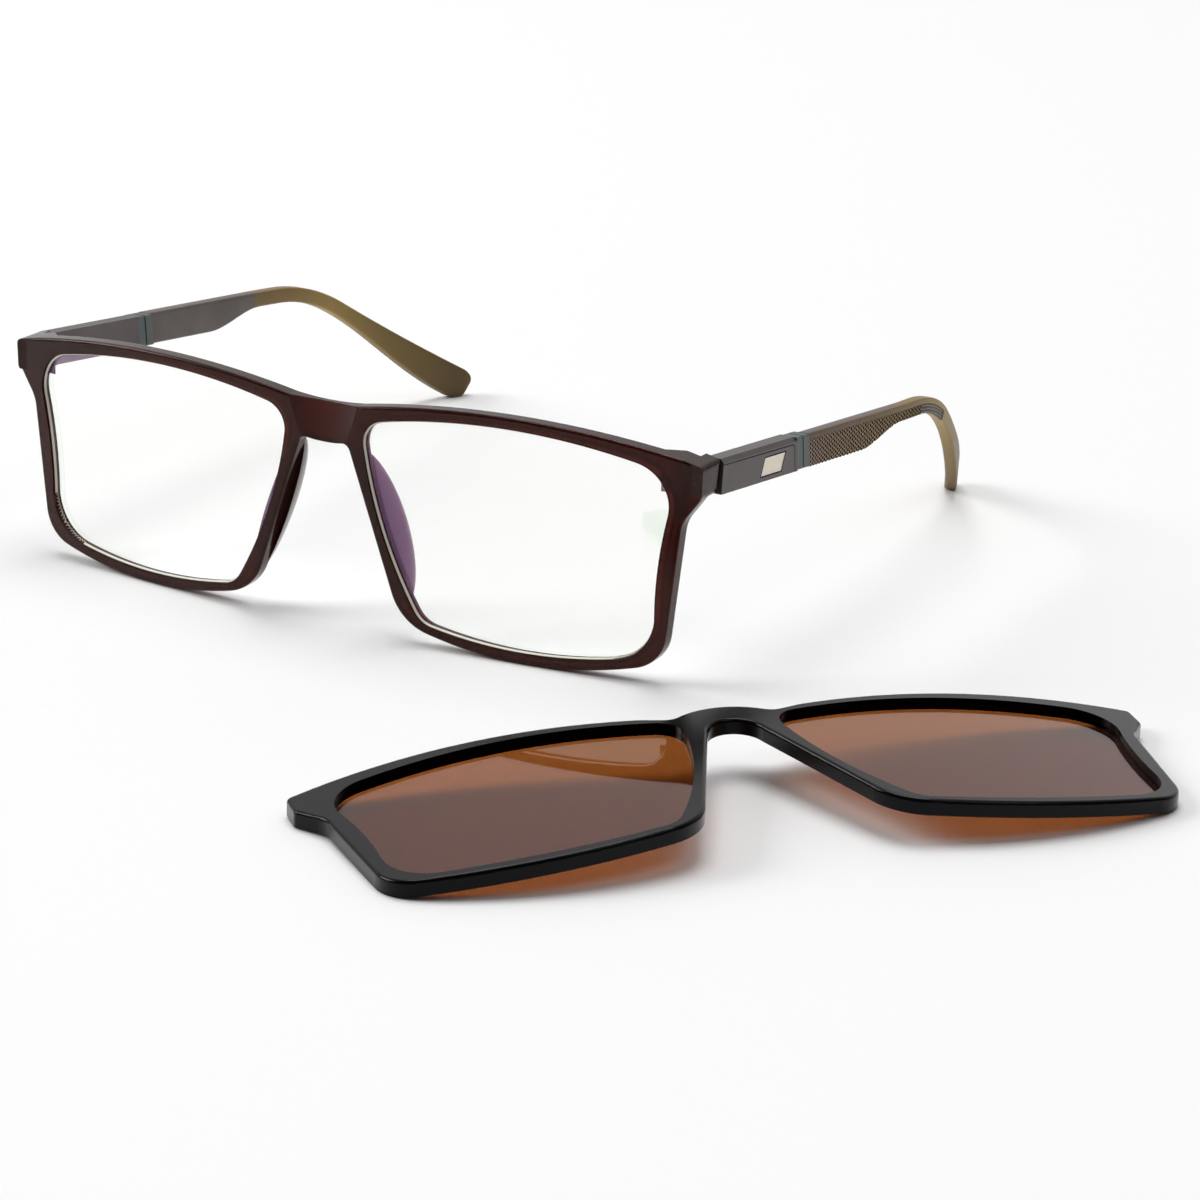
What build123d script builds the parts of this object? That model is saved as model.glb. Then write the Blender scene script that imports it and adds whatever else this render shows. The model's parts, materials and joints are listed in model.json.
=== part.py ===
from build123d import *
import os
from math import asin, atan2, cos, degrees, hypot, radians, sin, sqrt

# A pair of spectacles with spring hinges, standing on its rims and temple tips, and the
# magnetic clip-on sun lenses that belong to it, lying on its back in front of it.
# Millimetres. X points to the wearer's left, Y from the front back to the temple tips, Z up.
# Everything is built in the spectacles' own frame, whose origin is on the middle plane, at the
# foremost line of the front and on the ground, and is moved to the middle of the set at the end.

# ---- front: a plate cut from an upright cylinder ---------------------------------------------
wrap_radius = 375.0
front_thickness = 3.1
edge_round = 0.5
back_round = 0.7

# lens opening of the wearer's left eye, as corners (x, z, corner radius, rise of the next side)
opening_corners = [
    (7.6, 38.1, 4.6, 4.0),
    (66.9, 36.8, 7.4, -1.75),
    (63.4, 5.3, 8.8, 2.75),
    (19.4, 4.1, 5.1, 2.25),
]
# outside of the front, from the bridge's top crease round to its underside
outside_corners = [
    (7.1, 41.0, 0.5, 3.1),
    (71.0, 39.4, 1.0, 0.0),
    (70.9, 34.3, 1.5, 0.0),
    (67.2, 29.1, 6.0, 0.0),
    (64.4, 4.0, 6.9, 3.9),
    (15.3, 3.8, 9.7, 0.0),
    (4.8, 34.0, 1.5, 0.8),
]
bridge_hollow_depth = 1.35
bridge_hollow_half_width = 6.9
bridge_hollow_top = 41.0
bridge_hollow_lean = 7.3

lens_depth = 0.9
lens_thickness = 1.5
groove_depth = 0.6
lens_clearance = 0.05

pad_centre = (10.8, 1.7, 19.6)
pad_half_size = (2.1, 6.9, 14.5)
pad_lean = 20.3
pad_splay = 9.2

# ---- end pieces and hinges -------------------------------------------------------------------
temple_slope = 6.2
hinge_x = 66.9
hinge_y = 12.1
hinge_z = 36.45
end_piece_bottom = 33.9
end_piece_root_x = 60.0
hinge_gap = 0.05
knuckle_radius = 1.2
carriage_height = 2.1
ear_height = 1.15
ear_gap = 0.1
screw_radius = 0.5
screw_clearance = 0.03
screw_head_radius = 0.8
screw_head_height = 0.45
anchor_size = (4.2, 0.8, 4.4)
anchor_back = 2.4
anchor_hole_radius = 0.9
pocket_clearance = 0.05

# ---- temple, in the hinge's own frame: x out from the pin, y along the temple, z up the pin --
block_inner = 1.3
block_outer = 4.55
block_front = 0.3
block_length = 26.3
block_top = 3.0
block_bottom = -3.0
end_slant = 1.2
block_bevel = 0.7
head_size = (3.6, 1.6)
flex_travel = 1.2
guide_radius = 0.45
guide_length = 11.0
nut_radius = 0.85
nut_length = 1.0
spring_wire = 0.15
spring_radius = 0.75
spring_pitch = 0.7
bore_radius = 1.05
shoulder_length = 1.0
inlay_start = 14.2
inlay_length = 7.3
inlay_height = 3.0
inlay_centre = -0.5
inlay_slant = 1.0
inlay_thickness = 0.3

band_width = 2.0
band_groove = 0.4
band_inset = 0.05
neck_inset = 0.35

temple_thickness = 2.4
skin_thickness = 0.6
plan_bend_start = 66.0
plan_bend_radius = 134.0
ear_start = 75.0
ear_radius = 40.0
ear_turn = 27.3
waist_start = 68.0
waist_height = 2.95
front_height = 6.2
narrowing_start = 52.0
tip_radius = 3.1
net_end = 92.0
shell_end = 66.0
lip_height = 1.1
core_inset = 0.75
core_height = 1.2
core_thickness = 0.8
core_end_margin = 7.0

# ---- magnets ----------------------------------------------------------------------------------
magnet_size = (1.7, 1.2, 3.7)
magnet_place = (66.85, 32.15)
front_magnet_depth = 0.9

# ---- clip-on ----------------------------------------------------------------------------------
seat_gap = 0.3
clip_thickness = 2.6
clip_edge_round = 0.6
clip_lens_depth = 1.3
clip_lens_thickness = 0.8
clip_bridge_dip = (8.4, 39.7)
clip_bridge_top = 42.6
clip_bridge_shoulder = (13.5, 41.3)
clip_bridge_under = 37.2
clip_bridge_leg = (4.6, 33.4)
clip_yaw = 48.3
clip_place = (105.8, -35.2)
clip_turn_height = 20.0

tall = 120.0
temple_end = 160.0


# ---- outlines ----------------------------------------------------------------------------------
def side_between(start, end, rise):
    """A straight side, or an arc whose middle stands `rise` to the left of the way from start to end."""
    if rise == 0:
        return Line(start, end)
    left = outward(start, end)
    middle = (
        (start[0] + end[0]) / 2 + left[0] * rise,
        (start[1] + end[1]) / 2 + left[1] * rise,
    )
    return ThreePointArc(start, middle, end)


def outline(corners):
    """A closed face from corners (x, z, radius, rise of the side that follows)."""
    sides = Curve()
    for here, there in zip(corners, corners[1:] + corners[:1]):
        sides += side_between(here[:2], there[:2], here[3])
    face = make_face(sides)
    for x, z, radius, _ in corners:
        if radius > 0:
            corner = face.vertices().sort_by_distance((x, z, 0))[0]
            face = fillet(corner, radius)
    return face


def outward(start, end):
    """The unit vector to the left of the way from start to end."""
    along, across = end[0] - start[0], end[1] - start[1]
    length = hypot(along, across)
    return -across / length, along / length


def grown(corners, margin):
    """The same corners with every side moved out by `margin`."""
    moved = []
    for before, here, after in zip(corners[-1:] + corners[:-1], corners, corners[1:] + corners[:1]):
        first, second = outward(before, here), outward(here, after)
        share = margin / (1 + first[0] * second[0] + first[1] * second[1])
        x = here[0] + share * (first[0] + second[0])
        z = here[1] + share * (first[1] + second[1])
        moved.append((x, z, here[2] + margin, here[3]))
    return moved


def both_halves(half, top_rise, bottom_rise):
    """Joins a half outline to its mirror image, across the bridge's top and underside."""
    last = half[-1]
    mirrored = [
        (-here[0], here[1], here[2], before[3])
        for here, before in zip(half[::-1], half[-2::-1] + [half[0]])
    ]
    mirrored[-1] = mirrored[-1][:3] + (top_rise,)
    return half[:-1] + [last[:3] + (bottom_rise,)] + mirrored


def through_front(face, start=-20.0, end=40.0):
    """Carries a face drawn in front view (x, z) straight back from y = start to y = end."""
    return Pos(0, end, 0) * extrude(Plane.XZ * face, amount=end - start)


def wrapped_layer(radius, front, back):
    """The layer of an upright cylinder between two depths behind its foremost line."""
    layer = Cylinder(radius - front, tall) - Cylinder(radius - back, tall)
    return Pos(0, radius, 0) * layer


def sagitta(radius, x):
    """How far a wrapped face lies behind its foremost line at x."""
    return radius - sqrt(radius**2 - x**2)


def on_wrap(radius, x, z):
    """A place on a wrapped face, with y pointing straight into it."""
    turn = degrees(asin(x / radius))
    return Pos(0, radius, 0) * Rot(0, 0, turn) * Pos(0, -radius, z)


def at_depth(part, radius, depth):
    """Edges of a wrapped plate that lie on one of its two faces."""
    def on_face(edge):
        return all(
            abs(radius - hypot(p.X, p.Y - radius) - depth) < 0.01
            for p in (edge @ 0, edge @ 0.37, edge @ 1)
        )
    return part.edges().filter_by(on_face)


def mirrored(part):
    """The same piece on the wearer's right."""
    return mirror(part, about=Plane.YZ)


# ---- front ------------------------------------------------------------------------------------
opening = outline(opening_corners)
outside = outline(both_halves(outside_corners, -0.4, 0.5))


def front_plate():
    """The wrapped plate with its two lens openings, bridge hollow and rounded edges."""
    plate = through_front(outside) & wrapped_layer(wrap_radius, 0, front_thickness)
    plate = fillet(at_depth(plate, wrap_radius, 0), edge_round)
    plate = fillet(at_depth(plate, wrap_radius, front_thickness), back_round)
    hole = through_front(opening)
    plate = plate - hole - mirrored(hole)
    radius = (bridge_hollow_half_width**2 + bridge_hollow_depth**2) / (2 * bridge_hollow_depth)
    hollow = Rot(-bridge_hollow_lean, 0, 0) * Cylinder(radius, tall)
    return plate - Pos(0, bridge_hollow_depth - radius, bridge_hollow_top) * hollow


def lens_blank(margin):
    """The lens shape, `margin` larger than the opening all round, straight through the front."""
    return through_front(outline(grown(opening_corners, margin)))


def nose_pad():
    """A moulded pad behind the nasal side of a rim."""
    pad = scale(Sphere(1), by=pad_half_size)
    pad = Pos(*pad_centre) * Rot(0, -pad_lean, 0) * Rot(0, 0, -pad_splay) * pad
    behind_lens = lens_depth + lens_thickness + lens_clearance
    return pad - wrapped_layer(wrap_radius, -4 * pad_half_size[1], behind_lens)


def end_piece():
    """The block that runs back from the rim's outer corner to the hinge."""
    root_y = sagitta(wrap_radius, end_piece_root_x) + front_thickness / 2
    step_x = hinge_x + knuckle_radius + ear_gap
    step_y = hinge_y - knuckle_radius - 3 * ear_gap
    plan = Polyline(
        (end_piece_root_x, root_y),
        (end_piece_root_x + 3.0, root_y + front_thickness / 2),
        (step_x - 2.6, step_y),
        (step_x, step_y),
        (step_x, hinge_y + 4),
        (hinge_x + 10, hinge_y + 4),
        (hinge_x + 10, root_y),
        close=True,
    )
    block = extrude(make_face(plan), amount=tall)
    block &= through_front(outside, 0, temple_end)
    block &= Pos(0, 0, end_piece_bottom) * Box(
        400, 400, tall, align=(Align.CENTER, Align.CENTER, Align.MIN)
    )
    behind = Pos(0, -hinge_gap, 0) * Box(
        40, 40, tall, align=(Align.CENTER, Align.MIN, Align.CENTER)
    )
    return block - hinge_frame * behind


# ---- hinge --------------------------------------------------------------------------------------
hinge_frame = Pos(hinge_x, hinge_y, hinge_z) * Rot(-temple_slope, 0, 0)
ear_start_z = carriage_height / 2 + ear_gap
ear_end_z = ear_start_z + ear_height
bore_centre = (block_inner + block_outer) / 2


def rod(radius, start, end, x=0.0, z=0.0):
    """A round bar along the temple, between two distances from the pin."""
    bar = Cylinder(radius, end - start, align=(Align.CENTER, Align.CENTER, Align.MIN))
    return Pos(x, start, z) * Rot(-90, 0, 0) * bar


def slab(x0, x1, y0, y1, z0, z1):
    """A box given by its limits."""
    return Pos(x0, y0, z0) * Box(
        x1 - x0, y1 - y0, z1 - z0, align=(Align.MIN, Align.MIN, Align.MIN)
    )


def pin_hole(radius=screw_radius + screw_clearance):
    """The hole that the hinge screw passes through."""
    return Cylinder(radius, 4 * ear_end_z)


def anchor(grown=0.0, with_hole=True):
    """The metal leaf moulded into the end piece: a holed plate with two ears on the pin."""
    width, depth, height = anchor_size
    inner = -0.4
    leaf = slab(
        inner - grown, inner + width + grown,
        -anchor_back - depth - grown, -anchor_back + grown,
        -height / 2 - grown, height / 2 + grown,
    )
    if with_hole:
        leaf -= rod(anchor_hole_radius, -anchor_back - 2 * depth, -anchor_back + depth,
                    inner + width / 2)
    for sign in (-1, 1):
        low, high = sorted((sign * ear_start_z, sign * ear_end_z))
        middle = (low + high) / 2
        ear = Pos(0, 0, middle) * Cylinder(knuckle_radius + grown, ear_height + 2 * grown)
        arm = slab(inner - grown, knuckle_radius + grown, -anchor_back - grown, 0,
                   low - grown, high + grown)
        leaf += ear + arm
    return leaf if grown else leaf - pin_hole(screw_radius + screw_clearance)


def hinge_screw():
    """The screw that is the hinge's pin."""
    shank_length = 2 * ear_end_z
    shank = Cylinder(screw_radius, shank_length)
    head = Pos(0, 0, ear_end_z) * Cylinder(
        screw_head_radius, screw_head_height, align=(Align.CENTER, Align.CENTER, Align.MIN)
    )
    slot = Pos(0, 0, ear_end_z + screw_head_height) * Box(
        2 * screw_head_radius, screw_radius / 2, screw_head_height
    )
    return shank + head - slot


def hinge_carriage():
    """The sliding knuckle: an eye on the pin and a head that the guide pin screws into."""
    head_width, head_depth = head_size
    eye = Cylinder(knuckle_radius, carriage_height) - pin_hole()
    arm = slab(0, head_width + 0.1, block_front + 0.1, block_front + 0.1 + head_depth,
               -carriage_height / 2, carriage_height / 2)
    return (eye + arm) - pin_hole()


head_back = block_front + 0.1 + head_size[1]
pocket_back = head_back + 0.2
spring_start = pocket_back + shoulder_length + 0.1
nut_start = head_back + guide_length - nut_length
spring_end = nut_start - flex_travel - 0.05
bore_end = nut_start + nut_length + 0.5


def guide_pin():
    """The pin behind the carriage, with the nut that the flex spring pushes on."""
    shank = rod(guide_radius, head_back, nut_start, bore_centre)
    return shank + rod(nut_radius, nut_start, nut_start + nut_length, bore_centre)


def flex_spring():
    """The coil spring round the guide pin, as short as it gets at full flex."""
    length = spring_end - spring_start - 2 * spring_wire
    path = Helix(spring_pitch, length, spring_radius)
    section = Plane(origin=path @ 0, z_dir=path % 0) * Circle(spring_wire)
    coil = sweep(section, path=path, is_frenet=True)
    return Pos(bore_centre, spring_start + spring_wire, 0) * Rot(-90, 0, 0) * coil


# ---- temple -------------------------------------------------------------------------------------
def slide(z):
    """How far a slanted end has moved back at height z: nothing at the top, all at the bottom."""
    return end_slant * (block_top - z) / (block_top - block_bottom)


def slanted(start, length, top, bottom, inset=0.0):
    """A side-view face between two slanted ends, `start` being its front end's top corner."""
    top, bottom = top - inset, bottom + inset
    return make_face(Polyline(
        (start + slide(top), top), (start + length + slide(top), top),
        (start + length + slide(bottom), bottom), (start + slide(bottom), bottom),
        close=True,
    ))


def side_extrusion(face, inner, outer):
    """Carries a face drawn in side view (y, z) across the temple."""
    return Pos(inner, 0, 0) * extrude(Plane.YZ * face, amount=outer - inner, dir=(1, 0, 0))


def band_bottom(y):
    """The temple's lower edge in its straight front stretch, which tapers from the block."""
    share = (y - block_front) / (narrowing_start - block_front)
    return block_bottom + share * (block_top - front_height * 0.98 - block_bottom)


def temple_block():
    """The metal housing of the spring hinge, bevelled along its top and rebated for the inlay."""
    low = band_bottom(first_band)
    side = make_face(Polyline(
        (block_front, block_bottom), (block_front, block_top), (first_band, block_top),
        (first_band + slide(low), low), close=True,
    ))
    block = side_extrusion(side, block_inner, block_outer)
    top_outer = block.edges().filter_by(Axis.Y).sort_by(Axis.X)[-2:].sort_by(Axis.Z)[-1]
    block = chamfer(top_outer, block_bevel)
    head_width, _ = head_size
    half = carriage_height / 2 + ear_gap
    block -= slab(block_inner - 1, head_width + 0.2, block_front - 1, pocket_back, -half, half)
    block -= rod(guide_radius + 0.05, pocket_back - 0.1, bore_end, bore_centre)
    block -= rod(bore_radius, spring_start - 0.1, bore_end, bore_centre)
    return block - inlay(pocket_clearance, inlay_thickness + pocket_clearance)


def inlay(grown=0.0, depth=inlay_thickness):
    """The slanted plate let into the outer face of the block."""
    top = inlay_centre + inlay_height / 2 + grown
    bottom = inlay_centre - inlay_height / 2 - grown
    start, end = inlay_start - grown, inlay_start + inlay_length + grown
    face = make_face(Polyline(
        (start + inlay_slant, top), (end + inlay_slant, top), (end, bottom), (start, bottom),
        close=True,
    ))
    outer = block_outer + (1.0 if grown else -pocket_clearance)
    return side_extrusion(face, block_outer - pocket_clearance - inlay_thickness - grown, outer)


def core_hole():
    """The slot through the bands that the core passes."""
    inner = block_outer - skin_thickness - core_thickness - 3 * pocket_clearance
    return slab(inner, inner + core_thickness + 2 * pocket_clearance, block_front, ear_start,
                block_top - core_inset - core_height - pocket_clearance,
                block_top - core_inset + pocket_clearance)


def band(start, with_neck):
    """One rubber band round the temple, with the sunk neck that parts it from the next."""
    inner, outer = block_inner + band_inset, block_outer - band_inset
    bottom = band_bottom(start + band_width)
    face = slanted(start, band_width, block_top, bottom, band_inset)
    ring = side_extrusion(face, inner, outer)
    ring = fillet(ring.edges().filter_by(Axis.Y), neck_inset)
    if with_neck:
        neck = slanted(start + band_width, band_groove, block_top, bottom, neck_inset)
        ring += side_extrusion(neck, inner + neck_inset, outer - neck_inset)
    return ring - core_hole()


def ear_line(inset, end_margin=0.0):
    """The temple's top line moved in by `inset`: straight, an arc over the ear, straight."""
    turn = radians(ear_turn)
    radius = ear_radius - inset
    centre = (ear_start, block_top - ear_radius)
    arc_end = (centre[0] + radius * sin(turn), centre[1] + radius * cos(turn))
    half_way = (centre[0] + radius * sin(turn / 2), centre[1] + radius * cos(turn / 2))
    length = tip_length - end_margin
    end = (arc_end[0] + length * cos(turn), arc_end[1] - length * sin(turn))
    return (block_front, block_top - inset), (ear_start, block_top - inset), half_way, arc_end, end


def straight_tip_length():
    """How far the temple runs on past the ear until its round tip meets the ground."""
    turn, slope = radians(ear_turn), radians(temple_slope)
    y = ear_start + (ear_radius - tip_radius) * sin(turn)
    z = block_top - ear_radius + (ear_radius - tip_radius) * cos(turn)
    height = hinge_z - sin(slope) * y + cos(slope) * z
    return (height - tip_radius) / sin(turn + slope)


tip_length = straight_tip_length()


def ribbon(inset, height, end_margin):
    """A side-view face of constant height that follows the top line."""
    a0, a1, am, a2, a3 = ear_line(inset, end_margin)
    b0, b1, bm, b2, b3 = ear_line(inset + height, end_margin)
    sides = Line(a0, a1) + ThreePointArc(a1, am, a2) + Line(a2, a3) + Line(a3, b3)
    sides += Line(b3, b2) + ThreePointArc(b2, bm, b1) + Line(b1, b0) + Line(b0, a0)
    return make_face(sides)


def temple_side():
    """The whole temple behind the bands in side view, from the slanted front to the round tip."""
    _, a1, am, a2, a3 = ear_line(0)
    _, w1, wm, w2, _ = ear_line(waist_height)
    _, _, _, _, low_end = ear_line(2 * tip_radius)
    turn = radians(ear_turn)
    front = temple_front
    low = band_bottom(front)
    front_low = (front + slide(low), low)
    tip = (
        (a3[0] + low_end[0]) / 2 + tip_radius * cos(turn),
        (a3[1] + low_end[1]) / 2 - tip_radius * sin(turn),
    )
    narrow = (narrowing_start, band_bottom(narrowing_start))
    waist = (waist_start, block_top - waist_height)
    straight = (1, 0)
    down = (cos(turn), -sin(turn))
    sides = Line((front, block_top), a1) + ThreePointArc(a1, am, a2) + Line(a2, a3)
    sides += ThreePointArc(a3, tip, low_end)
    sides += Spline([w2, low_end], tangents=[down, down])
    sides += ThreePointArc(w1, wm, w2) + Line(waist, w1)
    sides += Spline([narrow, waist], tangents=[straight, straight])
    sides += Line(front_low, narrow) + Line((front, block_top), front_low)
    return make_face(sides)


def plan_band(outer_inset, inner_inset):
    """A plan-view face between two lines inside the temple's outer face."""
    outer_x = block_outer - band_inset
    turn = asin((temple_end - plan_bend_start) / plan_bend_radius)
    centre = (outer_x - plan_bend_radius, plan_bend_start)

    def line(inset):
        radius = plan_bend_radius - inset
        points = [
            (centre[0] + radius * cos(turn * share), centre[1] + radius * sin(turn * share))
            for share in (0, 0.5, 1)
        ]
        return (outer_x - inset, block_front), *points

    a0, a1, am, a2 = line(outer_inset)
    b0, b1, bm, b2 = line(inner_inset)
    sides = Line(a0, a1) + ThreePointArc(a1, am, a2) + Line(a2, b2)
    sides += ThreePointArc(b2, bm, b1) + Line(b1, b0) + Line(b0, a0)
    return Pos(0, 0, -tall / 2) * extrude(make_face(sides), amount=tall)


def temple_pieces():
    """The core, the inner shell, the net panel and the rubber sleeve of one temple."""
    wide = 60.0

    def behind(y):
        return slab(-wide, wide, y, temple_end + 20, -tall, tall)

    whole = side_extrusion(temple_side(), -wide, wide) & plan_band(0, temple_thickness)
    core_outer = skin_thickness + pocket_clearance
    core = side_extrusion(ribbon(core_inset, core_height, core_end_margin), -wide, wide)
    core &= plan_band(core_outer, core_outer + core_thickness)
    core_start = slanted(first_band, temple_end, block_top, block_bottom - tall)
    core &= side_extrusion(core_start, -wide, wide)
    skin = whole & plan_band(0, skin_thickness)
    lip = side_extrusion(ribbon(-1, 1 + lip_height, 0), -wide, wide)
    net = skin - lip - behind(net_end)
    shell = whole - skin - behind(shell_end)
    return {
        "core_strip": core,
        "temple_shell": shell - core,
        "net_panel": net,
        "rubber_sleeve": whole - net - shell - core,
    }


first_band = block_front + block_length
second_band = first_band + band_width + band_groove
temple_front = second_band + band_width


# ---- magnets ------------------------------------------------------------------------------------
def magnet(radius, depth, grown=0.0):
    """A bar magnet let into a wrapped plate, its outer face `depth` behind the plate's front."""
    width, thickness, height = magnet_size
    bar = slab(-width / 2 - grown, width / 2 + grown, depth - grown, depth + thickness + grown,
               -height / 2 - grown, height / 2 + grown)
    return on_wrap(radius, *magnet_place) * bar


# ---- clip-on ------------------------------------------------------------------------------------
clip_radius = wrap_radius + seat_gap + clip_thickness


def clip_outside():
    """The clip-on's outline: the front's own, with an arched bridge."""
    half = [clip_bridge_dip + (3.0, 0.0), clip_bridge_shoulder + (6.0, 3.3)]
    half += outside_corners[1:-1] + [clip_bridge_leg + (1.5, 0.0)]
    top_rise = clip_bridge_top - clip_bridge_dip[1]
    under_rise = clip_bridge_under - clip_bridge_leg[1]
    return outline(both_halves(half, top_rise, -under_rise))


def clip_frame():
    """The clip-on's one-piece frame, with grooves for its lenses and pockets for its magnets."""
    plate = through_front(clip_outside()) & wrapped_layer(clip_radius, 0, clip_thickness)
    plate = fillet(at_depth(plate, clip_radius, 0), clip_edge_round)
    hole = through_front(opening)
    groove = lens_blank(groove_depth) & wrapped_layer(
        clip_radius, clip_lens_depth - lens_clearance,
        clip_lens_depth + clip_lens_thickness + lens_clearance,
    )
    pocket = magnet(clip_radius, clip_thickness - magnet_size[1], pocket_clearance)
    for cut in (hole, groove, pocket):
        plate = plate - cut - mirrored(cut)
    return plate


def clip_lens():
    """One tinted lens of the clip-on."""
    return lens_blank(groove_depth - lens_clearance) & wrapped_layer(
        clip_radius, clip_lens_depth, clip_lens_depth + clip_lens_thickness
    )


def clip_resting_place():
    """Lays the clip-on on its back: on its two end tabs and its lower outer corners."""
    tab, low = outside_corners[2], outside_corners[4]
    back_radius = clip_radius - clip_thickness
    low_x, low_z = low[0] - low[2] * 0.1, low[1] + low[2] * 0.5
    drop = sagitta(back_radius, tab[0]) - sagitta(back_radius, low_x)
    tilt = degrees(atan2(drop, tab[1] - low_z))
    turned = Rot(0, 0, clip_yaw) * Rot(tilt - 90, 0, 0) * Pos(0, 0, -clip_turn_height)
    lowest = (turned * clip_frame_part).bounding_box().min.Z
    return Pos(clip_place[0], clip_place[1], -lowest) * turned


# ---- assembly -------------------------------------------------------------------------------------
clip_frame_part = clip_frame()
resting = clip_resting_place()
anchor_pocket = hinge_frame * (anchor(pocket_clearance, with_hole=True))
front_pocket = magnet(wrap_radius, front_magnet_depth, pocket_clearance)
lens_groove = lens_blank(groove_depth) & wrapped_layer(
    wrap_radius, lens_depth - lens_clearance, lens_depth + lens_thickness + lens_clearance
)

half_front = end_piece() + nose_pad()
front = front_plate() + half_front + mirrored(half_front)
for cut in (lens_groove, anchor_pocket, front_pocket):
    front = front - cut - mirrored(cut)

left = {
    "lens": lens_blank(groove_depth - lens_clearance)
    & wrapped_layer(wrap_radius, lens_depth, lens_depth + lens_thickness),
    "front_magnet": magnet(wrap_radius, front_magnet_depth),
    "hinge_anchor": hinge_frame * anchor(),
    "hinge_screw": hinge_frame * hinge_screw(),
    "hinge_carriage": hinge_frame * hinge_carriage(),
    "guide_pin": hinge_frame * guide_pin(),
    "flex_spring": hinge_frame * flex_spring(),
    "temple_block": hinge_frame * temple_block(),
    "inlay_plate": hinge_frame * inlay(),
    "front_band": hinge_frame * band(first_band, with_neck=True),
    "rear_band": hinge_frame * band(second_band, with_neck=False),
}
for name, piece in temple_pieces().items():
    left[name] = hinge_frame * piece

nodes = {"front_frame": front}
for name, piece in left.items():
    nodes[name + "_left"] = piece
    nodes[name + "_right"] = mirrored(piece)
nodes["clip_frame"] = resting * clip_frame_part
for name, piece in {
    "clip_lens": clip_lens(),
    "clip_magnet": magnet(clip_radius, clip_thickness - magnet_size[1]),
}.items():
    nodes[name + "_left"] = resting * piece
    nodes[name + "_right"] = resting * mirrored(piece)

everything = Compound(children=[Compound(node.solids()) for node in nodes.values()])
box = everything.bounding_box()
to_origin = Pos(-box.center().X, -box.center().Y, -box.min.Z)

os.makedirs("parts", exist_ok=True)
for name, piece in nodes.items():
    export_step(to_origin * piece, f"parts/{name}.step")
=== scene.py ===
"""Looks of a pair of spectacles and its magnetic clip-on sun lenses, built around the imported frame.

Each sub-assembly is a class that builds its meshes with numpy and dresses them. Lengths of the pieces are
written in millimetres and turned into metres by MM. Places come from the frame.
"""

import json
import logging
from dataclasses import dataclass, field
from enum import Enum
from math import atan2, cos, pi, radians, sin

import bmesh
import bpy
import numpy as np
from mathutils import Matrix, Vector


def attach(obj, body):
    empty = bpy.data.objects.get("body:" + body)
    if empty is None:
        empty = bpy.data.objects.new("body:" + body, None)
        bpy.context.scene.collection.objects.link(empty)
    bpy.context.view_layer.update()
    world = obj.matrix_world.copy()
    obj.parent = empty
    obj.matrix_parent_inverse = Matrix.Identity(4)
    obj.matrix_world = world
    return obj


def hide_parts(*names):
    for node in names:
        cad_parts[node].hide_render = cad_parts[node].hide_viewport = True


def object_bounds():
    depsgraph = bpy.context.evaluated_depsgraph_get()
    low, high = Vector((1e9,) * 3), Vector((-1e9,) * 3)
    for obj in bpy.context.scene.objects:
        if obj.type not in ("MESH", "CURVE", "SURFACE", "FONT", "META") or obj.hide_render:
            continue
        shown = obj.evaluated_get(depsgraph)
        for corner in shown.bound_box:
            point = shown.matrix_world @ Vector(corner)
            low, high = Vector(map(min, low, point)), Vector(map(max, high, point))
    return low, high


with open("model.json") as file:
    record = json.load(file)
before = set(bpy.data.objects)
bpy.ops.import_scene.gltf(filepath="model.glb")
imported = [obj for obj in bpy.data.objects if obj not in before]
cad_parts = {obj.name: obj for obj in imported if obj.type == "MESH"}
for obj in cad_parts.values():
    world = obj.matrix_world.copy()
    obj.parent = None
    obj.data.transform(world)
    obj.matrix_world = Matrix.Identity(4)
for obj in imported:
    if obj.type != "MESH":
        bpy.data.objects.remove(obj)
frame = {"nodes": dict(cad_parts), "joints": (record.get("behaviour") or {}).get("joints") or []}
CAD_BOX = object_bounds()
LOG = logging.getLogger("spectacles")
MM = 0.001
TOUCH = 0.02  # millimetres within which a point of a CAD mesh counts as on a face or an edge
MERGE = 1e-7  # metres within which doubled points become one
TINY = 1e-9  # the least length that is divided by
Colour = tuple[float, float, float]


class Side(Enum):
    """Which of the two temples, as the wearer would say it."""

    LEFT = "left"
    RIGHT = "right"

    def node(self, stem: str) -> str:
        """The CAD node's name for this side."""
        return f"{stem}_{self.value}"

    @property
    def body(self) -> str:
        """The CAD body that this side's temple pieces ride on."""
        return f"temple_{self.value}"


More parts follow.
